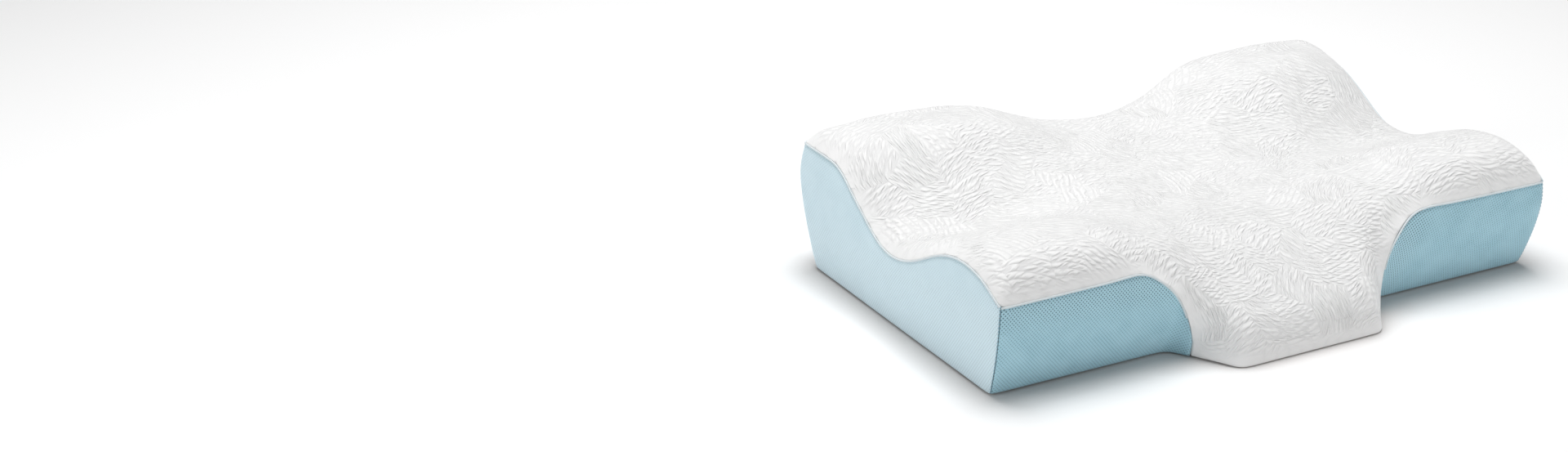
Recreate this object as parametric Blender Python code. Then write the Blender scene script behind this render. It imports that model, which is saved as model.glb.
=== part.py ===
"""A contoured cervical pillow: a filled cushion with a knit top, and the mesh panels sewn round its sides.

Metres, +Z up. X runs along the pillow's length, -Y is the side with the tongue, and the origin is on the
underside, in the middle. The pillow is the same on its left and right.

Every piece is cut from one surface, which point() gives for a column (how far round the outline) and a
height. Three outlines carry it: the floor, the rim where the sides stand out furthest, and the inner line
where the rounded shoulder ends and the crown begins.
"""

import bmesh
import bpy
import numpy as np
from mathutils import Matrix

# Driving dimensions

HALF_LENGTH = 0.300       # middle to end, on the floor
DEPTH = 0.308             # front of the arms to the back, on the floor
TONGUE_HALF = 0.081       # middle to the corner of the tongue, on the floor
TONGUE_REACH = 0.061      # how far the tongue stands out in front of the arms
ROOT_X = 0.116            # where the tongue's flank would meet the front of the arm
NOTCH_DEPTH = 0.034       # how far the notch cuts into the back

TONGUE_RADIUS = 0.020     # corner radii in plan
ROOT_RADIUS = 0.018
ARM_RADIUS = 0.006
BACK_RADIUS = 0.008

FRONT_LEAN = 0.017        # how far the rim stands out past the floor outline
END_LEAN = 0.0045
BACK_LEAN = 0.0275
TONGUE_LEAN = -0.004
ROOT_LEAN = -0.005
WALL_BOW = 1.70           # above 1 the sides bow outwards

FRONT_SHOULDER = 0.027    # width of the rounded shoulder, seen from above
END_SHOULDER = 0.028
BACK_SHOULDER = 0.023
TONGUE_SHOULDER = 0.014
FLANK_SHOULDER = 0.012
INNER_ROOT_RADIUS = 0.034 # corner radii of the inner line, where they differ
INNER_ARM_RADIUS = 0.012

PANEL = 0.002             # thickness of the mesh panels
GAP = 0.0005              # between a panel and the cushion behind it and above it
SEAM_GAP = 0.0008         # between a front panel's inner edge and the cushion's knit
HEM_SHARE = 0.018         # height of a panel's lower edge, as a share of the seam's
FLOOR_ROUND = 0.004       # radius of the edge between the sides and the underside

FRONT_SEAM_START = 0.175  # where the front panel's top edge begins to turn down to the tongue
FRONT_SEAM_END = 0.105    # where it meets the floor
FRONT_SEAM_TOP = 0.0895
FRONT_SEAM_SQUARE = 2.3   # 2 is a plain ellipse, more is squarer
SEAM_TURN = 0.070         # height of the seam where its rounded corner is halfway round
RIM_SHARE = 0.86          # height of the rim, as a share of the seam's

# Height of the crown above the floor. A row for each distance from the middle, in metres, and a column for
# each depth in CROWN_Y, from the tip of the tongue to the back.
CROWN_Y = (-0.06, -0.02, 0.02, 0.06, 0.10, 0.15, 0.20, 0.25, 0.30)
CROWN = {
    0.00: (0.030, 0.054, 0.074, 0.086, 0.090, 0.094, 0.100, 0.108, 0.111),
    0.06: (0.031, 0.057, 0.079, 0.090, 0.094, 0.096, 0.103, 0.110, 0.115),
    0.12: (0.034, 0.066, 0.097, 0.102, 0.097, 0.095, 0.108, 0.130, 0.132),
    0.18: (0.054, 0.101, 0.118, 0.119, 0.103, 0.090, 0.113, 0.142, 0.138),
    0.24: (0.064, 0.107, 0.122, 0.122, 0.105, 0.087, 0.106, 0.140, 0.139),
    0.30: (0.064, 0.108, 0.121, 0.118, 0.105, 0.085, 0.085, 0.114, 0.133),
}

# Height of the seam along an end, from the front corner to the back one: depth y, height z
END_SEAM = (
    (-0.016, 0.088), (0.000, 0.098), (0.015, 0.1035), (0.035, 0.1065), (0.060, 0.105), (0.090, 0.095),
    (0.120, 0.079), (0.150, 0.069), (0.180, 0.070), (0.210, 0.0815), (0.240, 0.0995), (0.270, 0.1155),
    (0.310, 0.120),
)

# Height of the seam along the back: share of the way from the corner to the middle, height z
BACK_SEAM = ((0.00, 0.120), (0.30, 0.129), (0.65, 0.094), (1.00, 0.084))

# How far the back is drawn in: share of the way from the middle to the corner, share of NOTCH_DEPTH
BACK_DRAW = ((0.00, 1.00), (0.25, 0.61), (0.50, 0.03), (0.78, 0.05), (1.00, 0.00))

# Columns round half the outline, from the middle of the front by the right end to the middle of the back
STRETCHES = (
    ("tongue_front", 5), ("tongue_corner", 4), ("flank", 3), ("root", 6), ("arm_front", 9),
    ("arm_corner", 2), ("end", 20), ("back_corner", 4), ("back", 26),
)
FIRST = {name: sum(n for _, n in STRETCHES[:i]) for i, (name, _) in enumerate(STRETCHES)}
LAST = sum(n for _, n in STRETCHES)
ARM_CORNER = FIRST["arm_corner"] + 1      # the upright seam between front panel and side band
BACK_CORNER = FIRST["back_corner"] + 2
CORNER_STEP = 0.08        # how far each panel stops short of the corner seam, in columns
SEAM_COLUMN = FIRST["root"] + 3           # the mesh column that follows the seam beside the tongue
DRIFT_FROM = FIRST["flank"] - 2           # the columns between these two slide along with it
DRIFT_TO = FIRST["arm_front"] + 5
DRIFT_EASE = 0.75         # below 1 the columns past the seam spread out from it
TURN_LIFT = 4.0           # above 1 the rows past the seam rise later than it does

# Height of the rim along the front: column, height z. The end's follows its seam.
RIM_HEIGHT = (
    (0, 0.015), (FIRST["tongue_corner"], 0.015), (FIRST["root"], 0.018), (FIRST["root"] + 3, 0.0465),
    (FIRST["arm_front"], 0.0655), (ARM_CORNER, 0.088 * RIM_SHARE),
)
TONGUE_ROW = ((0, 0.024), (FIRST["tongue_corner"], 0.024), (FIRST["flank"], 0.032))

WALL_ROWS = 5             # rows of faces from the floor edge to the seam
SHOULDER_ROWS = 5         # and from the seam to the inner line

COLOURS = {
    "white_knit": (0.93, 0.93, 0.92), "pale_mesh": (0.57, 0.73, 0.80), "blue_mesh": (0.36, 0.57, 0.67),
}
ROUGHNESS = 0.9
SHARP_ANGLE = 50          # degrees; edges that turn more than this are shaded sharp


# Smooth curves and rounded corners

def smooth(xs, ys, at, level_start=False):
    """Read a smooth curve through the points (xs, ys). The last axis of ys runs along the curve."""
    xs, ys, at = np.asarray(xs, float), np.asarray(ys, float), np.asarray(at, float)
    step = np.diff(xs)
    rise = np.diff(ys) / step
    tangent = np.empty_like(ys)
    tangent[..., 1:-1] = (rise[..., :-1] * step[1:] + rise[..., 1:] * step[:-1]) / (step[1:] + step[:-1])
    tangent[..., 0] = 0.0 if level_start else rise[..., 0]
    tangent[..., -1] = rise[..., -1]
    at = np.clip(at, xs[0], xs[-1])
    k = np.clip(np.searchsorted(xs, at, side="right") - 1, 0, len(xs) - 2)
    t, width = (at - xs[k]) / step[k], step[k]
    return ((2 * t**3 - 3 * t**2 + 1) * ys[..., k] + (3 * t**2 - 2 * t**3) * ys[..., k + 1]
            + (t**3 - 2 * t**2 + t) * width * tangent[..., k] + (t**3 - t**2) * width * tangent[..., k + 1])


def along(table, at, level_start=False):
    """Read a table of (place, value) pairs as a smooth curve."""
    xs, ys = zip(*table)
    return smooth(xs, ys, at, level_start)


def halve(below, low, high, steps=14):
    """Close in on the value where below(value) turns from true to false, one for each entry."""
    for _ in range(steps):
        middle = (low + high) / 2
        short = below(middle)
        low, high = np.where(short, middle, low), np.where(short, high, middle)
    return (low + high) / 2


class Straight:
    def __init__(self, start, end):
        self.start, self.end = start, end

    def at(self, share):
        return self.start + (self.end - self.start) * share[..., None]


class Rounded:
    """The arc that rounds a corner between two straight stretches."""

    def __init__(self, before, corner, after, radius):
        a = (before - corner) / np.linalg.norm(before - corner)
        b = (after - corner) / np.linalg.norm(after - corner)
        half = np.arccos(a @ b) / 2
        self.start = corner + a * radius / np.tan(half)
        self.end = corner + b * radius / np.tan(half)
        self.centre = corner + (a + b) / np.linalg.norm(a + b) * radius / np.sin(half)
        self.spoke = self.start - self.centre
        last = self.end - self.centre
        side = np.sign(self.spoke[0] * last[1] - self.spoke[1] * last[0])
        self.turn = side * (np.pi - 2 * half)

    def at(self, share):
        c, s = np.cos(self.turn * share), np.sin(self.turn * share)
        x, y = self.spoke
        return self.centre + np.stack([x * c - y * s, x * s + y * c], -1)


class Notched:
    """The back, from its corner to the bottom of the notch in the middle."""

    def __init__(self, start):
        self.start = start

    def at(self, share):
        x = self.start[0] * (1 - share)
        y = self.start[1] - NOTCH_DEPTH * along(BACK_DRAW, 1 - share, level_start=True)
        return np.stack([x, y], -1)


class Outline:
    """One closed outline of the pillow, read by column: 0 is the front's middle, left is negative."""

    def __init__(self, tongue, root, arm, back, radii):
        tongue_radius, root_radius, arm_radius, back_radius = radii
        front = np.array([0.0, tongue[1]])
        tongue, root, arm, back = (np.array(p) for p in (tongue, root, arm, back))
        tip = Rounded(front, tongue, root, tongue_radius)
        fillet = Rounded(tongue, root, arm, root_radius)
        corner = Rounded(root, arm, back, arm_radius)
        rear = Rounded(arm, back, np.array([0.0, back[1]]), back_radius)
        self.parts = (
            Straight(front, tip.start), tip, Straight(tip.end, fillet.start), fillet,
            Straight(fillet.end, corner.start), corner, Straight(corner.end, rear.start), rear,
            Notched(rear.end),
        )

    def at(self, column):
        column = np.asarray(column, float)
        place = np.abs(column)
        points = np.zeros(place.shape + (2,))
        for (name, count), part in zip(STRETCHES, self.parts):
            here = (place >= FIRST[name]) & (place <= FIRST[name] + count)
            points[here] = part.at((place[here] - FIRST[name]) / count)
        points[..., 0] *= np.where(column < 0, -1, 1)
        return points


FLOOR = Outline(
    tongue=(TONGUE_HALF, -TONGUE_REACH), root=(ROOT_X, 0.0), arm=(HALF_LENGTH, 0.0),
    back=(HALF_LENGTH, DEPTH), radii=(TONGUE_RADIUS, ROOT_RADIUS, ARM_RADIUS, BACK_RADIUS))
RIM = Outline(
    tongue=(TONGUE_HALF + TONGUE_LEAN, -TONGUE_REACH - TONGUE_LEAN),
    root=(ROOT_X + ROOT_LEAN, -FRONT_LEAN), arm=(HALF_LENGTH + END_LEAN, -FRONT_LEAN),
    back=(HALF_LENGTH + END_LEAN, DEPTH + BACK_LEAN),
    radii=(TONGUE_RADIUS, ROOT_RADIUS, ARM_RADIUS, BACK_RADIUS))
INNER = Outline(
    tongue=(TONGUE_HALF + TONGUE_LEAN - FLANK_SHOULDER, -TONGUE_REACH - TONGUE_LEAN + TONGUE_SHOULDER),
    root=(ROOT_X + ROOT_LEAN - FLANK_SHOULDER, -FRONT_LEAN + FRONT_SHOULDER),
    arm=(HALF_LENGTH + END_LEAN - END_SHOULDER, -FRONT_LEAN + FRONT_SHOULDER),
    back=(HALF_LENGTH + END_LEAN - END_SHOULDER, DEPTH + BACK_LEAN - BACK_SHOULDER),
    radii=(TONGUE_RADIUS, INNER_ROOT_RADIUS, INNER_ARM_RADIUS, BACK_RADIUS))


# The pillow's surface

def crown(points):
    """Height of the top at plan points, before its edge is rounded over."""
    x, y = np.abs(points[..., 0]), points[..., 1]
    by_row = smooth(list(CROWN), np.eye(len(CROWN)), x, level_start=True)
    by_depth = smooth(CROWN_Y, np.eye(len(CROWN_Y)), y)
    return np.einsum("i...,ij,j...->...", by_row, np.array(list(CROWN.values())), by_depth)


def seam_top(column):
    """Height of the seam, without the turn it takes beside the tongue."""
    place = np.abs(np.asarray(column, float))
    front = smooth((FIRST["arm_front"], ARM_CORNER), (FRONT_SEAM_TOP, END_SEAM[0][1]), place)
    end = along(END_SEAM, RIM.at(place)[..., 1])
    back = along(BACK_SEAM, (place - FIRST["back"]) / (LAST - FIRST["back"]))
    return np.where(place < ARM_CORNER, front, np.where(place < FIRST["back"], end, back))


def rim_height(column):
    place = np.abs(np.asarray(column, float))
    front = along(RIM_HEIGHT, np.minimum(place, ARM_CORNER), level_start=True)
    return np.where(place < ARM_CORNER, front, seam_top(place) * RIM_SHARE)


def shoulder(column, angle):
    """Where the rounded shoulder is at an angle from 0 at the rim to a right angle at the inner line."""
    rim, inner = RIM.at(column), INNER.at(column)
    plan = rim + (inner - rim) * (1 - np.cos(angle))[..., None]
    low = rim_height(column)
    return plan, low + (crown(plan) - low) * np.sin(angle)


def shoulder_angle(column, height):
    flat, upright = np.zeros(np.shape(column)), np.full(np.shape(column), np.pi / 2)
    return halve(lambda angle: shoulder(column, angle)[1] < height, flat, upright)


def plan_at(column, height):
    """The surface seen from above, at a column and a height up to the seam."""
    share = np.clip(height / rim_height(column), 0, 1)
    out = 1 - (1 - share) ** WALL_BOW
    floor = FLOOR.at(column)
    side = floor + (RIM.at(column) - floor) * out[..., None]
    over = shoulder(column, shoulder_angle(column, height))[0]
    return np.where((height > rim_height(column))[..., None], over, side)


def point(column, height, depth=0.0):
    """A point of the surface, or the point that is depth further in."""
    column, height = np.broadcast_arrays(np.asarray(column, float), np.asarray(height, float))
    nudge = 0.05
    ahead, behind = plan_at(column + nudge, height), plan_at(column - nudge, height)
    run = np.where(np.abs(column)[..., None] > LAST - nudge, [-1.0, 0.0], ahead - behind)
    run = run / np.linalg.norm(run, axis=-1, keepdims=True)
    inward = np.stack([-run[..., 1], run[..., 0]], -1)
    under = FLOOR_ROUND * (1 - np.sqrt(1 - np.clip(1 - height / FLOOR_ROUND, 0, 1) ** 2))
    plan = plan_at(column, height) + inward * (depth + under)[..., None]
    return np.concatenate([plan, height[..., None]], -1)


# The seam beside the tongue, and the mesh lines that follow it

def seam_x(height):
    """Distance from the middle of the front panel's inner edge at a height."""
    share = np.clip(height / FRONT_SEAM_TOP, 0, 1) ** FRONT_SEAM_SQUARE
    width = (1 - share) ** (1 / FRONT_SEAM_SQUARE)
    return FRONT_SEAM_START - (FRONT_SEAM_START - FRONT_SEAM_END) * width


def seam_column(height):
    """Column at which the seam is at a height below its turn."""
    low = np.full(np.shape(height), float(FIRST["flank"]))
    high = np.full(np.shape(height), float(DRIFT_TO))
    return halve(lambda column: plan_at(column, height)[..., 0] < seam_x(height), low, high)


TURN_COLUMN = float(seam_column(np.array([SEAM_TURN]))[0])


def seam_height(column):
    """Height of the seam at a column past its turn, and of the mesh row that carries on over the tongue."""
    place = np.abs(np.asarray(column, float))
    top = seam_top(place)
    turned = halve(lambda z: seam_x(z) < plan_at(place, z)[..., 0], np.zeros(place.shape), top)
    turning = plan_at(place, top)[..., 0] < FRONT_SEAM_START
    table = TONGUE_ROW + ((TURN_COLUMN, SEAM_TURN),)
    over_tongue = along(table, np.minimum(place, TURN_COLUMN), level_start=True)
    past = np.where(turning & (place < ARM_CORNER), turned, top)
    return np.where(place < TURN_COLUMN, over_tongue, past)


def drift(column, followed):
    """Slide the columns near the seam, so that SEAM_COLUMN lands on the column it has to follow."""
    place = np.abs(column)
    before = np.clip((place - DRIFT_FROM) / (SEAM_COLUMN - DRIFT_FROM), 0, 1)
    after = np.clip((place - SEAM_COLUMN) / (DRIFT_TO - SEAM_COLUMN), 0, 1) ** DRIFT_EASE
    slid = DRIFT_FROM + (followed - DRIFT_FROM) * before + (DRIFT_TO - followed) * after
    return np.copysign(np.where((place > DRIFT_FROM) & (place < DRIFT_TO), slid, place), column)


def wall_rows(columns, lowest=0.0):
    """Columns, heights and share of the height, for the mesh rows from a lowest share up to the seam."""
    edge = FLOOR_ROUND / FRONT_SEAM_TOP
    shares = np.array([lowest, *np.linspace(edge, 1.0, WALL_ROWS + 1)])
    seam = seam_height(drift(columns, TURN_COLUMN))
    followed = seam_column(SEAM_TURN * shares)
    lift = np.interp(np.abs(columns), (SEAM_COLUMN - 1, SEAM_COLUMN, DRIFT_TO), (1, TURN_LIFT, 1))
    rows = []
    for column, share in zip(followed, shares):
        heights = SEAM_TURN * share + (seam - SEAM_TURN) * share**lift
        rows.append((drift(columns, column), heights, share))
    return rows


# Making the pieces

def new_object(name, vertices, faces, colour):
    mesh = bpy.data.meshes.new(name)
    bm = bmesh.new()
    placed = [bm.verts.new(v) for v in vertices]
    for face in faces:
        bm.faces.new([placed[i] for i in face])
    bmesh.ops.remove_doubles(bm, verts=bm.verts, dist=1e-5)
    bmesh.ops.recalc_face_normals(bm, faces=bm.faces)
    bmesh.ops.triangulate(bm, faces=bm.faces, quad_method="SHORT_EDGE", ngon_method="BEAUTY")
    bm.to_mesh(mesh)
    bm.free()
    mesh.shade_smooth()
    mesh.set_sharp_from_angle(angle=np.radians(SHARP_ANGLE))
    mesh.materials.append(material(name, colour))
    made = bpy.data.objects.new(name, mesh)
    bpy.context.scene.collection.objects.link(made)
    return made


def material(name, colour):
    made = bpy.data.materials.new(name)
    made.use_nodes = True
    shader = made.node_tree.nodes["Principled BSDF"]
    shader.inputs["Base Color"].default_value = (*COLOURS[colour], 1.0)
    shader.inputs["Roughness"].default_value = ROUGHNESS
    shader.inputs["Metallic"].default_value = 0.0
    return made


def strip_faces(rows, width, closed):
    """Quads between rows of width points each, which lie one after the other in a list of vertices."""
    faces = []
    for row in range(rows - 1):
        for i in range(width if closed else width - 1):
            j = (i + 1) % width
            faces.append((row * width + i, row * width + j, (row + 1) * width + j, (row + 1) * width + i))
    return faces


def cushion_columns():
    """Columns right round the cushion, with the two at each upright seam doubled to make its step.

    Each has a mark that says whether a panel covers it below the seam.
    """
    marked = []
    for column in range(-LAST + 1, LAST + 1):
        if abs(column) == SEAM_COLUMN:
            marked += [(column, column < 0), (column, column > 0)]
        else:
            marked.append((column, abs(column) > SEAM_COLUMN))
    columns, covered = zip(*marked)
    return np.array(columns, float), np.array(covered)


def top_grid():
    """Plan points of the crown inside the inner line, blended from its four sides."""
    front = INNER.at(drift(np.arange(-ARM_CORNER, ARM_CORNER + 1), SEAM_COLUMN))
    right = INNER.at(np.arange(ARM_CORNER, BACK_CORNER + 1))
    left = right * (-1, 1)
    half_back = INNER.at(np.arange(BACK_CORNER, LAST + 1))
    back = np.concatenate([half_back * (-1, 1), half_back[-2::-1]])
    u = np.linspace(0, 1, len(front))[:, None, None]
    v = np.linspace(0, 1, len(right))[None, :, None]
    corners = ((1 - u) * (1 - v) * front[0] + u * (1 - v) * front[-1]
               + (1 - u) * v * back[0] + u * v * back[-1])
    return (1 - v) * front[:, None] + v * back[:, None] + (1 - u) * left[None] + u * right[None] - corners


def make_cushion():
    columns, covered = cushion_columns()
    tucked = np.where(covered, PANEL + GAP, 0.0)
    rows = []
    for place, heights, _ in wall_rows(columns):
        rows.append(point(place, heights, tucked))
    rows.append(point(place, heights))
    start = shoulder_angle(place, heights)
    for step in range(1, SHOULDER_ROWS + 1):
        share = step / SHOULDER_ROWS
        here = drift(columns, TURN_COLUMN + (SEAM_COLUMN - TURN_COLUMN) * share)
        angle = start + (np.pi / 2 - start) * share
        plan, height = shoulder(here, angle)
        rows.append(np.concatenate([plan, height[:, None]], 1))
    vertices = [tuple(v) for v in np.concatenate(rows)]
    faces = strip_faces(len(rows), len(columns), closed=True)

    grid = top_grid()
    top = np.concatenate([grid, crown(grid)[..., None]], 2)
    faces += [tuple(i + len(vertices) for i in f) for f in strip_faces(*grid.shape[:2], closed=False)]
    vertices += [tuple(v) for v in top.reshape(-1, 3)]

    faces.append(tuple(range(len(columns))))
    return new_object("cushion", vertices, faces, "white_knit")


def make_panel(name, columns, colour):
    """A sheet of mesh PANEL thick that covers the sides from the floor to the seam along some columns."""
    columns = np.asarray(columns, float)
    at_seam = np.isclose(np.abs(columns), SEAM_COLUMN)
    outer, inner = [], []
    for place, heights, share in wall_rows(columns, HEM_SHARE):
        heights = heights - GAP * share
        spacing = np.linalg.norm(RIM.at(place + 0.5) - RIM.at(place - 0.5), axis=-1)
        place = place + np.where(at_seam, np.sign(columns) * SEAM_GAP / spacing, 0.0)
        outer.append(point(place, heights))
        inner.append(point(place, heights, np.full(len(columns), PANEL)))
    outer, inner = np.array(outer), np.array(inner)
    loop = np.concatenate([outer, inner[::-1]])
    rows, width = loop.shape[:2]
    faces = strip_faces(rows, width, closed=False)
    bottom = (rows - 1) * width
    faces += [(i + 1, i, bottom + i, bottom + i + 1) for i in range(width - 1)]
    for side in (0, width - 1):
        for row in range(rows // 2 - 1):
            mate = rows - 1 - row
            faces.append(tuple(r * width + side for r in (row, row + 1, mate - 1, mate)))
    return new_object(name, [tuple(v) for v in loop.reshape(-1, 3)], faces, colour)


def centre(pieces):
    """Move the pieces together so that their middle, from front to back, is over the origin."""
    depths = [vertex.co.y for piece in pieces for vertex in piece.data.vertices]
    shift = Matrix.Translation((0, -(min(depths) + max(depths)) / 2, 0))
    for piece in pieces:
        piece.data.transform(shift)


def main():
    for old in list(bpy.data.objects):
        bpy.data.objects.remove(old)
    front = [*range(SEAM_COLUMN, ARM_CORNER), ARM_CORNER - CORNER_STEP]
    half = [ARM_CORNER + CORNER_STEP, *range(ARM_CORNER + 1, LAST)]
    centre([
        make_cushion(),
        make_panel("front_panel_right", front, "blue_mesh"),
        make_panel("front_panel_left", [-c for c in reversed(front)], "blue_mesh"),
        make_panel("side_band", half + [LAST] + [-c for c in reversed(half)], "pale_mesh"),
    ])


main()
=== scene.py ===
"""A contoured neck-support pillow: a white ribbed knit over foam, with blue mesh sewn round its sides."""

import math

import bmesh
import bpy
import numpy as np
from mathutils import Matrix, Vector, noise


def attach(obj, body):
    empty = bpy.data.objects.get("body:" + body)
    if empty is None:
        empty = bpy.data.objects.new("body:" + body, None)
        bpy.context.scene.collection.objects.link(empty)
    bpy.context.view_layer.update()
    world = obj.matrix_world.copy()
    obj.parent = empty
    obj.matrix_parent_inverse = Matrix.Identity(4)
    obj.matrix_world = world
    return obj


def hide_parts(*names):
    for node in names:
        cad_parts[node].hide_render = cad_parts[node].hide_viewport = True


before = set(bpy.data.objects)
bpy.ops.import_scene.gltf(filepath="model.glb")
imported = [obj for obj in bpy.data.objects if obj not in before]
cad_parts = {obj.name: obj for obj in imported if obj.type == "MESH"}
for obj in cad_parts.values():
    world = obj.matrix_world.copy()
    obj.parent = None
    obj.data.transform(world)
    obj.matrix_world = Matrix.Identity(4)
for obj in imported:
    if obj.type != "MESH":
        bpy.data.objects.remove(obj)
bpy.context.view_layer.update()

# Sizes, in metres

KNIT_PATCH = 0.036        # width of one fan of ribs
FAN_REACH = 0.085         # from a patch's middle to the point its ribs curve round
FAN_SPREAD = 0.35         # how far that point may lie sideways, as a share of how far it may lie ahead
RIB_PITCH = 0.0053
RIB_HEIGHT = 0.00092
RIB_WANDER = 0.012        # full range of the ribs' stray from their curves
KNIT_MARGIN = 0.014       # the ribs die out over this width beside a seam
PUCKER = 0.0006           # how far the knit swells and dips
PUCKER_WIDTH = 0.034
MESH_PITCH = 0.0036       # between the holes of the mesh, along a row
MESH_ROW = 0.0018
HOLE_RADIUS = 0.00066
STITCH_LENGTH = 0.0026
STITCH_GAP = 0.0009
THREAD_RADIUS = 0.0005
WELT_RADIUS = 0.0009      # of the rolled edge where a panel meets the knit
WELT_STEP = 0.003
TRIM_FOOT = 0.003         # the welt and the stitches end this far above the rest face
FLOOR = -0.0002
CONTACT_SHADE = 0.045     # the floor's colour is painted darker, as contact shadow, within this distance of the pillow

SEAM_ANGLE = math.radians(42)      # solids are cut into cloth along edges sharper than this
CORNER_ANGLE = math.radians(40)    # a panel's border is split where it turns more than this

# Scales of uneven patterns, in waves a metre or so

WANDER_SCALE = 22.0
LUMPS_ALONG, LUMPS_ACROSS = 230, 210
FADE_SCALE = 11.0
KNIT_GRAIN = 900.0
MESH_MOTTLE = 45.0
MESH_WEAVE = 1100.0
THREAD_TWIST = 2500.0

# Colours

# The knit's second colour is painted shade in the grooves between its ribs.
KNIT_LIGHT, KNIT_GROOVE_SHADE = (0.86, 0.86, 0.857, 1), (0.62, 0.62, 0.625, 1)
# Near their top seam the mesh colours are painted lighter, as if better lit.
FRONT_LIGHT, FRONT_DARK = (0.45, 0.70, 0.80, 1), (0.29, 0.54, 0.65, 1)
SIDE_LIGHT, SIDE_DARK = (0.69, 0.85, 0.92, 1), (0.56, 0.74, 0.82, 1)
WELT_YARN, BLUE_THREAD = (0.74, 0.81, 0.84, 1), (0.36, 0.58, 0.68, 1)
# The floor's second colour is painted contact shadow.
FLOOR_OPEN, FLOOR_PAINTED_SHADOW = (0.94, 0.94, 0.94, 1), (0.69, 0.67, 0.66, 1)

# The camera that took the photograph, and its aim on the floor

AIM = Vector((-0.277, 0.2728, 0.0))
AZIMUTH, ELEVATION = math.radians(-28.11), math.radians(22.69)
DISTANCE = 2.336
LENS = 54.15


# Cloth finishes

class Value:
    """A socket in a finish. Arithmetic on it adds the Math nodes that work it out."""

    def __init__(self, finish, socket):
        self.finish, self.socket = finish, socket

    def maths(self, operation, *others):
        return self.finish.node("ShaderNodeMath", {"operation": operation}, [self, *others])

    def turned(self, operation, other):
        return self.finish.node("ShaderNodeMath", {"operation": operation}, [other, self])

    def __add__(self, other):
        return self.maths("ADD", other)

    def __sub__(self, other):
        return self.maths("SUBTRACT", other)

    def __mul__(self, other):
        return self.maths("MULTIPLY", other)

    def __truediv__(self, other):
        return self.maths("DIVIDE", other)

    def __pow__(self, other):
        return self.maths("POWER", other)

    def __rsub__(self, other):
        return self.turned("SUBTRACT", other)

    __radd__, __rmul__ = __add__, __mul__

    def output(self, name):
        return Value(self.finish, self.socket.node.outputs[name])


class Finish:
    """A material made of nodes round one Principled shader."""

    def __init__(self, name, roughness, **fixed):
        self.material = bpy.data.materials.new(name)
        self.material.use_nodes = True
        self.tree = self.material.node_tree
        self.shader = self.tree.nodes["Principled BSDF"]
        self.shader.inputs["Roughness"].default_value = roughness
        for socket, value in fixed.items():
            self.shader.inputs[socket.replace("_", " ")].default_value = value

    def node(self, kind, settings=None, sockets=()):
        made = self.tree.nodes.new(kind)
        for name, value in (settings or {}).items():
            setattr(made, name, value)
        named = sockets.items() if isinstance(sockets, dict) else enumerate(sockets)
        for socket, value in named:
            self.put(made.inputs[socket], value)
        return Value(self, made.outputs[0])

    def put(self, socket, value):
        if isinstance(value, Value):
            self.tree.links.new(value.socket, socket)
        else:
            socket.default_value = value

    def vector(self, operation, *sockets):
        return self.node("ShaderNodeVectorMath", {"operation": operation}, sockets)

    def split(self, vector):
        parts = self.node("ShaderNodeSeparateXYZ", {}, [vector])
        return parts, parts.output("Y"), parts.output("Z")

    def join(self, x, y, z=0.0):
        return self.node("ShaderNodeCombineXYZ", {}, [x, y, z])

    def cloth(self):
        """Place on the cloth, in metres."""
        return self.node("ShaderNodeUVMap", {"uv_map": "cloth"})

    def attribute(self, name):
        """A number kept at each point of the piece."""
        return self.node("ShaderNodeAttribute", {"attribute_name": name}).output("Fac")

    def noise(self, vector, scale, detail=1.0):
        return self.node("ShaderNodeTexNoise", {"noise_dimensions": "3D"},
                         {"Vector": vector, "Scale": scale, "Detail": detail})

    def step(self, value, low, high):
        """0 below low, 1 above high and smooth in between. Low may be the larger."""
        return self.node("ShaderNodeMapRange", {"interpolation_type": "SMOOTHSTEP"},
                         [value, low, high, 0.0, 1.0])

    def colour_mix(self, share, a, b):
        mixed = self.node("ShaderNodeMix", {"data_type": "RGBA"}, {0: share, 6: a, 7: b})
        return Value(self, mixed.socket.node.outputs[2])

    def bump(self, height):
        """Tilt the surface by a height in millimetres."""
        return self.node("ShaderNodeBump", {}, {"Strength": 1.0, "Distance": 0.001, "Height": height})

    def use(self, **sockets):
        for name, value in sockets.items():
            self.put(self.shader.inputs[name.replace("_", " ")], value)
        return self.material


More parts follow.
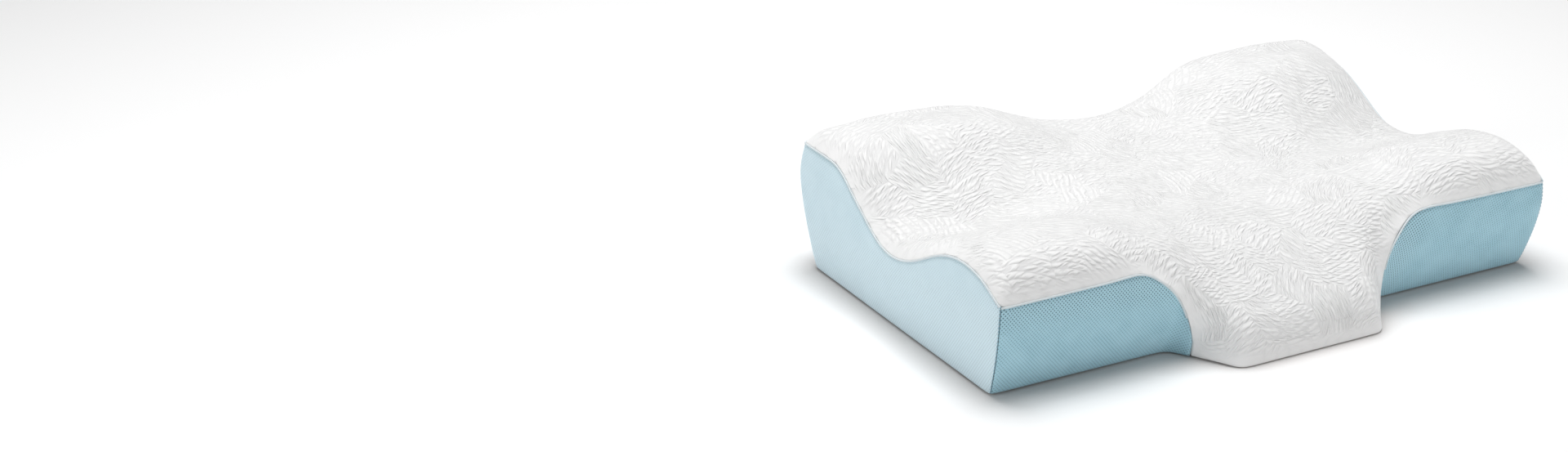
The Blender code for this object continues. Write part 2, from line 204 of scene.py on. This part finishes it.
def knit_finish():
    """Thick white knit: fans of puffed ribs, each fan turned its own way, with the ribs broken into lumps."""
    knit = Finish("white_knit", 0.86, Sheen_Weight=0.25, Sheen_Roughness=0.5, Specular_IOR_Level=0.25)
    cloth = knit.cloth()
    # Each patch has its own point beyond its edge, and its ribs are rings round that point.
    wander = knit.vector("SUBTRACT", knit.noise(cloth, WANDER_SCALE).output("Color"), (0.5, 0.5, 0.5))
    place = knit.vector("ADD", cloth, knit.vector("MULTIPLY", wander, (RIB_WANDER, RIB_WANDER, 0.0)))
    cells = {"Vector": place, "Scale": 1 / KNIT_PATCH, "Randomness": 0.9}
    patch = knit.node("ShaderNodeTexVoronoi", {"voronoi_dimensions": "2D"}, cells)
    edge = knit.node("ShaderNodeTexVoronoi", {"voronoi_dimensions": "2D", "feature": "DISTANCE_TO_EDGE"},
                     cells)
    turn = knit.vector("MULTIPLY_ADD", patch.output("Color"), (FAN_SPREAD, 1.0, 0.0),
                       (-FAN_SPREAD / 2, -0.5, 0.0))
    centre = knit.vector("ADD", patch.output("Position"),
                         knit.vector("MULTIPLY", knit.vector("NORMALIZE", turn), (FAN_REACH, FAN_REACH, 0.0)))
    x, y, _ = knit.split(knit.vector("SUBTRACT", place, centre))
    reach = (x * x + y * y).maths("SQRT")
    run = y.maths("ARCTAN2", x) * reach
    own = knit.split(patch.output("Color"))[2]
    pitch = own * (RIB_PITCH * 0.35) + RIB_PITCH * 0.85
    puffed = (reach / pitch * math.pi).maths("SINE").maths("ABSOLUTE")
    # The ribs are broken along their length, and die down at a patch's edge and beside the seams.
    broken = knit.noise(knit.join(run * LUMPS_ALONG, reach * LUMPS_ACROSS, own * 40), 1.0, 0.5)
    lumps = knit.step(broken, 0.32, 0.64)
    fans = knit.step(edge, 0.0, 0.07)
    strength = knit.step(knit.noise(cloth, FADE_SCALE), 0.30, 0.60) * 0.2 + 0.8
    ribbed = knit.attribute("ribbed")
    relief = puffed * (lumps * 0.9 + 0.1) * (fans * 0.35 + 0.65) * strength * ribbed
    grain = knit.noise(cloth, KNIT_GRAIN)
    height = relief * (RIB_HEIGHT * 1000) + broken * 0.5 * ribbed + grain * 0.03
    # Painted shade: the grooves between the ribs are coloured a darker grey.
    groove_shade = (1 - relief) ** 3 * ribbed * 0.48
    colour = knit.colour_mix(groove_shade, KNIT_LIGHT, KNIT_GROOVE_SHADE)
    return knit.use(Base_Color=colour, Normal=knit.bump(height))


def mesh_finish(name, light, dark, depth, open_and_lit_from):
    """Blue knitted mesh with staggered round holes in painted shade, clearest above the heights given as the
    last argument, where the blue is also painted lighter, as if better lit.
    """
    mesh = Finish(name, 0.72, Sheen_Weight=0.2, Sheen_Roughness=0.5, Specular_IOR_Level=0.3)
    cloth = mesh.cloth()
    u, v, _ = mesh.split(cloth)
    rows = v / MESH_ROW
    odd = (rows.maths("FLOOR") * 0.5).maths("FRACT")
    across = ((u / MESH_PITCH + odd).maths("FRACT") - 0.5) * MESH_PITCH
    up = (rows.maths("FRACT") - 0.5) * MESH_ROW
    away = (across * across + up * up).maths("SQRT")
    mottle = mesh.noise(cloth, MESH_MOTTLE, 2.0)
    # A share that rises towards the top seam: painted light on the blue, and clearer holes.
    near_seam_painted_light = mesh.step(v, *open_and_lit_from)
    hole = (mesh.step(away, HOLE_RADIUS * 1.35, HOLE_RADIUS * 0.6)
            * (mottle * 0.6 + 0.35 + near_seam_painted_light * 0.5))
    weave = mesh.noise(cloth, MESH_WEAVE)
    # Painted light: towards the top seam the mottle darkens the blue less, so the upper panel is painted
    # lighter.
    tint = mesh.colour_mix(mottle * 0.6 * (1 - near_seam_painted_light * 0.9), light, dark)
    # Painted shade: the holes are coloured a darker blue, as the shade inside them.
    shade = mesh.colour_mix(hole * depth, tint, darker(dark, 0.55))
    height = weave * 0.05 - hole * 0.35 * depth
    return mesh.use(Base_Color=shade, Normal=mesh.bump(height))


def darker(colour, share):
    return tuple(share * c for c in colour[:3]) + (1,)


def thread_finish(name, colour):
    """Twisted yarn of one colour."""
    thread = Finish(name, 0.6, Specular_IOR_Level=0.3)
    twist = thread.noise(thread.node("ShaderNodeTexCoord").output("Object"), THREAD_TWIST)
    tint = thread.colour_mix(twist, colour, darker(colour, 0.8))
    return thread.use(Base_Color=tint, Normal=thread.bump(twist * 0.05))


# Sewn pieces

def solid_copy(node, name):
    """A copy of a solid with its loose triangles joined into four-sided faces."""
    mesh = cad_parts[node].data.copy()
    bm = bmesh.new()
    bm.from_mesh(mesh)
    bmesh.ops.remove_doubles(bm, verts=bm.verts, dist=1e-5)
    bmesh.ops.join_triangles(bm, faces=bm.faces, angle_face_threshold=math.radians(40),
                             angle_shape_threshold=math.radians(60))
    for layer in list(bm.loops.layers.uv.values()):
        bm.loops.layers.uv.remove(layer)
    bm.to_mesh(mesh)
    bm.free()
    mesh.name = name
    piece = bpy.data.objects.new(name, mesh)
    bpy.context.scene.collection.objects.link(piece)
    return piece


def mark_edges(piece, crease):
    """Cut the cloth and hold its shape at the sharp edges of its solid."""
    bm = bmesh.new()
    bm.from_mesh(piece.data)
    creases = bm.edges.layers.float.get("crease_edge") or bm.edges.layers.float.new("crease_edge")
    for edge in bm.edges:
        if len(edge.link_faces) == 2 and edge.calc_face_angle(0.0) > SEAM_ANGLE:
            edge.seam = True
            edge[creases] = crease
    bm.to_mesh(piece.data)
    bm.free()


def lay_cloth(piece, seen, up):
    """Unroll the piece, and scale and turn the result so that it is in metres and its v runs up."""
    mesh = piece.data
    mesh.uv_layers.new(name="cloth")
    bpy.context.view_layer.objects.active = piece
    piece.select_set(True)
    bpy.ops.object.mode_set(mode="EDIT")
    bpy.ops.mesh.select_all(action="SELECT")
    bpy.ops.uv.unwrap(method="ANGLE_BASED", margin=0.001)
    bpy.ops.object.mode_set(mode="OBJECT")
    piece.select_set(False)
    corners = np.empty(len(mesh.loops) * 2)
    mesh.uv_layers["cloth"].uv.foreach_get("vector", corners)
    corners = corners.reshape(-1, 2)
    chosen = [p for p in mesh.polygons if seen(p)]
    loops = np.array([i for p in chosen for i in p.loop_indices])
    flat = sum(shoelace(corners[list(p.loop_indices)]) for p in chosen)
    scale = math.sqrt(sum(p.area for p in chosen) / flat)
    heights = np.array([mesh.vertices[mesh.loops[i].vertex_index].co @ up for i in loops])
    rows = np.column_stack([corners[loops], np.ones(len(loops))])
    a, b, _ = np.linalg.lstsq(rows, heights, rcond=None)[0]
    turn = math.atan2(a, b)
    c, s = math.cos(turn), math.sin(turn)
    placed = scale * corners @ np.array([[c, s], [-s, c]])
    placed[:, 1] += np.mean(heights - placed[loops, 1])
    mesh.uv_layers["cloth"].uv.foreach_set("vector", placed.ravel())


def shoelace(corners):
    """Area inside a ring of flat corners."""
    x, y = corners.T
    return abs(np.dot(x, np.roll(y, -1)) - np.dot(y, np.roll(x, -1))) / 2


def smooth_out(piece, levels):
    """Round the piece over with a subdivision surface and keep the result."""
    rounded = piece.modifiers.new("rounded", "SUBSURF")
    rounded.levels = rounded.render_levels = levels
    keep_modifiers(piece)


def keep_modifiers(piece):
    """Turn what the modifiers make into the piece's own plain mesh."""
    bpy.context.view_layer.update()
    made = bpy.data.meshes.new_from_object(piece.evaluated_get(bpy.context.evaluated_depsgraph_get()))
    piece.modifiers.clear()
    piece.data = made
    made.shade_smooth()


def places(mesh):
    """Every point of a mesh, as rows of x, y and z."""
    co = np.empty(len(mesh.vertices) * 3)
    mesh.vertices.foreach_get("co", co)
    return co.reshape(-1, 3)


def ripple(piece, size, height, share):
    """Swell and dip the surface by a smooth uneven pattern, times share at each point."""
    mesh = piece.data
    co = places(mesh)
    normals = np.empty(len(co) * 3)
    mesh.vertex_normals.foreach_get("vector", normals)
    lift = np.array([noise.noise(Vector(p / size)) + 0.5 * noise.noise(Vector(p / size * 2.3))
                     for p in co])
    co += normals.reshape(-1, 3) * (lift * height * share)[:, None]
    mesh.vertices.foreach_set("co", co.ravel())
    mesh.update()


def seam_points(mesh):
    """Middles of the seam edges."""
    return np.array([(mesh.vertices[e.vertices[0]].co + mesh.vertices[e.vertices[1]].co) / 2
                     for e in mesh.edges if e.use_seam])


def nearest(points, targets, size=512):
    """Distance from each point to the closest target, worked out size points at a time."""
    out = np.empty(len(points))
    for i in range(0, len(points), size):
        out[i:i + size] = np.linalg.norm(points[i:i + size, None] - targets[None], axis=2).min(1)
    return out


def finish_piece(piece, node, material):
    piece.data.materials.clear()
    piece.data.materials.append(material)
    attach(piece, "root")
    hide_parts(node)


def make_cover():
    """The knit over the filled body, with the underside left flat."""
    piece = solid_copy("cushion", "knit_cushion")
    mark_edges(piece, 0.9)
    lay_cloth(piece, lambda p: p.normal.z > 0.1, Vector((0, 1, 0)))
    sewn = seam_points(piece.data)
    smooth_out(piece, 2)
    co = places(piece.data)
    away = nearest(co, sewn)
    share = np.clip(away / KNIT_MARGIN, 0, 1) ** 2
    ribbed = piece.data.attributes.new("ribbed", "FLOAT", "POINT")
    ribbed.data.foreach_set("value", share.astype(np.float32))
    above_rest = np.clip(co[:, 2] / KNIT_MARGIN, 0, 1)
    ripple(piece, PUCKER_WIDTH, PUCKER, share * above_rest)
    finish_piece(piece, "cushion", knit_finish())


def make_panel(node, name, material):
    """A mesh panel or band, pulled tight over the cushion's wall."""
    piece = solid_copy(node, name)
    mark_edges(piece, 1.0)
    lay_cloth(piece, lambda p: p.center.xy.dot(p.normal.xy) > 0, Vector((0, 0, 1)))
    smooth_out(piece, 2)
    finish_piece(piece, node, material)
    return piece


def faces_out(face):
    """Whether a face of a panel is on its outer side, and not on its rim or against the cushion."""
    return abs(face.normal.z) < 0.8 and face.calc_center_median().xy.dot(face.normal.xy) > 0


def border_runs(piece):
    """The outer border of a panel as runs of points, cut where it turns a corner."""
    bm = bmesh.new()
    bm.from_mesh(piece.data)
    beside = {}
    for edge in bm.edges:
        if edge.seam and sum(faces_out(f) for f in edge.link_faces) == 1:
            a, b = edge.verts
            beside.setdefault(a, []).append(b)
            beside.setdefault(b, []).append(a)
    ends = {v for v, near in beside.items() if len(near) != 2
            or (v.co - near[0].co).angle(near[1].co - v.co) > CORNER_ANGLE}
    runs, done = [], set()
    for end in sorted(ends, key=lambda v: v.index):
        for step in beside[end]:
            run = [end, step]
            while run[-1] not in ends:
                run.append(next(v for v in beside[run[-1]] if v is not run[-2]))
            key = frozenset(v.index for v in run)
            if key not in done:
                done.add(key)
                runs.append([v.co.copy() for v in run])
    bm.free()
    return [run for run in runs if max(p.z for p in run) > 0.01 and len(run) > 8]


def at_corner(run):
    """Whether a run goes straight up at the outer end of the front, where two panels meet."""
    length = sum((b - a).length for a, b in zip(run, run[1:]))
    return abs(run[0].z - run[-1].z) > 0.8 * length and abs(run[0].x) > 0.25


class Tree:
    """A Geometry Nodes tree that is built up in the script and set by named inputs."""

    def __init__(self, name):
        self.tree = bpy.data.node_groups.new(name, "GeometryNodeTree")
        self.tree.interface.new_socket("Geometry", in_out="INPUT", socket_type="NodeSocketGeometry")
        self.tree.interface.new_socket("Geometry", in_out="OUTPUT", socket_type="NodeSocketGeometry")
        self.start = self.tree.nodes.new("NodeGroupInput")
        self.end = self.tree.nodes.new("NodeGroupOutput")
        self.inputs = {}

    def size(self, name, value):
        made = self.tree.interface.new_socket(name, in_out="INPUT", socket_type="NodeSocketFloat")
        made.default_value = value
        self.inputs[name] = made.identifier
        return self.start.outputs[name]

    def node(self, kind, settings=None, **sockets):
        made = self.tree.nodes.new(kind)
        for name, value in (settings or {}).items():
            setattr(made, name, value)
        for name, value in sockets.items():
            socket = made.inputs[name.replace("_", " ")]
            if isinstance(value, bpy.types.NodeSocket):
                self.tree.links.new(value, socket)
            else:
                socket.default_value = value
        return made.outputs

    def apply(self, piece, geometry, material, **sizes):
        """End the tree, run it on the piece with these sizes, and keep the plain mesh."""
        real = self.node("GeometryNodeRealizeInstances", Geometry=geometry)[0]
        dressed = self.node("GeometryNodeSetMaterial", Geometry=real, Material=material)[0]
        self.tree.links.new(dressed, self.end.inputs[0])
        modifier = piece.modifiers.new(self.tree.name, "NODES")
        modifier.node_group = self.tree
        for name, value in sizes.items():
            modifier[self.inputs[name]] = value
        keep_modifiers(piece)


def path_object(name, runs):
    """A wire of straight edges through each run of points."""
    points, edges = [], []
    for run in runs:
        edges += [(len(points) + i, len(points) + i + 1) for i in range(len(run) - 1)]
        points += run
    mesh = bpy.data.meshes.new(name)
    mesh.from_pydata(points, edges, [])
    piece = bpy.data.objects.new(name, mesh)
    bpy.context.scene.collection.objects.link(piece)
    return piece


def make_welt(name, runs, material):
    """The rolled edge of the knit where a panel is sewn to it."""
    piece = path_object(name, runs)
    tree = Tree(name)
    radius, step = tree.size("radius", WELT_RADIUS), tree.size("step", WELT_STEP)
    curve = tree.node("GeometryNodeMeshToCurve", Mesh=tree.start.outputs[0])[0]
    even = tree.node("GeometryNodeResampleCurve", {"mode": "LENGTH"}, Curve=curve, Length=step)[0]
    ring = tree.node("GeometryNodeCurvePrimitiveCircle", Resolution=8, Radius=radius)[0]
    tube = tree.node("GeometryNodeCurveToMesh", Curve=even, Profile_Curve=ring, Fill_Caps=True)[0]
    tree.apply(piece, tube, material, radius=WELT_RADIUS, step=WELT_STEP)
    return piece


def make_stitches(name, runs, material):
    """Short stitches of thread laid end to end along a seam."""
    piece = path_object(name, runs)
    tree = Tree(name)
    length, pitch = tree.size("stitch", STITCH_LENGTH), tree.size("pitch", STITCH_LENGTH + STITCH_GAP)
    radius = tree.size("radius", THREAD_RADIUS)
    curve = tree.node("GeometryNodeMeshToCurve", Mesh=tree.start.outputs[0])[0]
    points = tree.node("GeometryNodeCurveToPoints", {"mode": "LENGTH"}, Curve=curve, Length=pitch)
    along = tree.node("FunctionNodeAlignRotationToVector", {"axis": "Z"}, Vector=points["Tangent"])[0]
    ball = tree.node("GeometryNodeMeshUVSphere", Segments=8, Rings=6, Radius=0.5)[0]
    across = tree.node("ShaderNodeMath", {"operation": "MULTIPLY"})
    across[0].node.inputs[1].default_value = 2.0
    tree.tree.links.new(radius, across[0].node.inputs[0])
    size = tree.node("ShaderNodeCombineXYZ", X=across[0], Y=across[0], Z=length)[0]
    placed = tree.node("GeometryNodeInstanceOnPoints", Points=points["Points"], Instance=ball, Rotation=along,
                       Scale=size)[0]
    tree.apply(piece, placed, material, stitch=STITCH_LENGTH, pitch=STITCH_LENGTH + STITCH_GAP,
               radius=THREAD_RADIUS)
    return piece


make_cover()
front_mesh = mesh_finish("front_mesh", FRONT_LIGHT, FRONT_DARK, 1.0, (0.055, 0.085))
side_mesh = mesh_finish("side_mesh", SIDE_LIGHT, SIDE_DARK, 0.38, (0.080, 0.120))
panels = [
    make_panel("front_panel_left", "front_mesh_left", front_mesh),
    make_panel("front_panel_right", "front_mesh_right", front_mesh),
    make_panel("side_band", "side_mesh_band", side_mesh),
]
borders = [[p for p in run if p.z > TRIM_FOOT] for panel in panels for run in border_runs(panel)]
welt = make_welt("knit_welt", [run for run in borders if not at_corner(run)],
                 thread_finish("welt_yarn", WELT_YARN))
stitches = make_stitches("corner_stitches", [run for run in borders if at_corner(run)],
                         thread_finish("blue_thread", BLUE_THREAD))
for piece, slot in ((welt, "knit"), (stitches, "side_mesh")):
    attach(piece, "root")


# Studio

def make_floor():
    mesh = bpy.data.meshes.new("studio_floor")
    size = 6.0
    mesh.from_pydata([(-size, -size, FLOOR), (size, -size, FLOOR), (size, size, FLOOR),
                      (-size, size, FLOOR)], [], [(0, 1, 2, 3)])
    floor = bpy.data.objects.new("studio_floor", mesh)
    bpy.context.scene.collection.objects.link(floor)
    pale = Finish("studio_floor", 0.9, Specular_IOR_Level=0.1)
    # Painted contact shadow: the floor's colour darkens where ambient occlusion finds the pillow close by.
    open_sky = pale.node("ShaderNodeAmbientOcclusion", {"samples": 8},
                         {"Distance": CONTACT_SHADE}).output("AO")
    share = pale.step((open_sky - 0.5) * 2, 0.0, 1.0)
    mesh.materials.append(pale.use(Base_Color=pale.colour_mix(share, FLOOR_PAINTED_SHADOW, FLOOR_OPEN)))


def make_light(name, place, aim, size, power):
    lamp = bpy.data.lights.new(name, "AREA")
    lamp.shape = "DISK"
    lamp.size, lamp.energy = size, power
    light = bpy.data.objects.new(name, lamp)
    light.location = place
    light.rotation_mode = "QUATERNION"
    light.rotation_quaternion = (Vector(aim) - Vector(place)).to_track_quat("-Z", "Y")
    bpy.context.scene.collection.objects.link(light)


def make_camera():
    data = bpy.data.cameras.new("camera")
    data.lens, data.sensor_width = LENS, 36.0
    camera = bpy.data.objects.new("camera", data)
    back = Vector((math.sin(AZIMUTH) * math.cos(ELEVATION), -math.cos(AZIMUTH) * math.cos(ELEVATION),
                   math.sin(ELEVATION)))
    camera.location = AIM + back * DISTANCE
    camera.rotation_mode = "QUATERNION"
    camera.rotation_quaternion = (-back).to_track_quat("-Z", "Y")
    bpy.context.scene.collection.objects.link(camera)
    bpy.context.scene.camera = camera


make_floor()
make_light("overhead", (0.0, 0.45, 2.4), (0, 0, 0), 2.0, 58.0)
make_light("left_fill", (-2.3, 0.2, 0.9), (0, 0, 0.05), 1.4, 12.5)
make_light("front_fill", (0.9, -2.7, 0.6), (0.1, 0, 0.05), 1.6, 18.0)
make_camera()
world = bpy.data.worlds.new("studio")
world.use_nodes = True
world.node_tree.nodes["Background"].inputs["Color"].default_value = (1, 1, 1, 1)
world.node_tree.nodes["Background"].inputs["Strength"].default_value = 0.22
bpy.context.scene.world = world
bpy.context.scene.view_settings.view_transform = "Standard"
